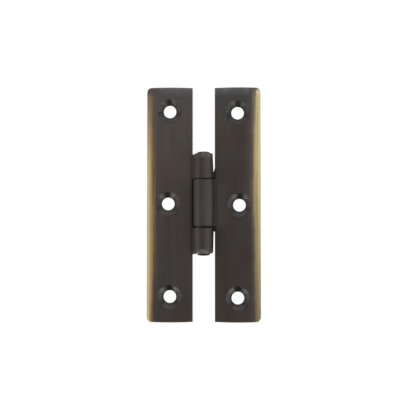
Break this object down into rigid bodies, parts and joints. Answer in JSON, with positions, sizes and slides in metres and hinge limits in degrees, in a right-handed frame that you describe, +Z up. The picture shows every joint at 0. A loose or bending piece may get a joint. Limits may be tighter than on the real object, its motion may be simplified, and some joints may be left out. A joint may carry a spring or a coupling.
{
  "type": "h hinge",
  "caption": "Face-fixed H hinge in dark bronzed brass: slim upright leaves with countersunk screw holes, joined by a short barrel on a peened pin, brass showing on the worn outer edges.",
  "frame": {"origin": "on the pin's axis, half way up the leaves, which is the middle of the part's box", "axes": "+Z up along the pin, +X towards the leaf with the middle knuckle, +Y towards the back, where the leaves lie on the door and its frame"},
  "size_m": [0.0368, 0.0065, 0.076],
  "materials": {
    "bronzed_leaf": "dark bronze patina, satin, rubbed through to brass along the outer edges",
    "bronzed_pin": "dark bronze patina, hammered ends"
  },
  "bodies": {
    "fixed_leaf": {"left_leaf": "bronzed_leaf", "hinge_pin": "bronzed_pin"},
    "swing_leaf": {"right_leaf": "bronzed_leaf"}
  },
  "joints": [
    {"name": "leaf_swing", "type": "hinge", "parent": "fixed_leaf", "child": "swing_leaf", "pos_m": [0, 0, 0], "axis": [0, 0, -1], "range_deg": [-60, 180]}
  ]
}
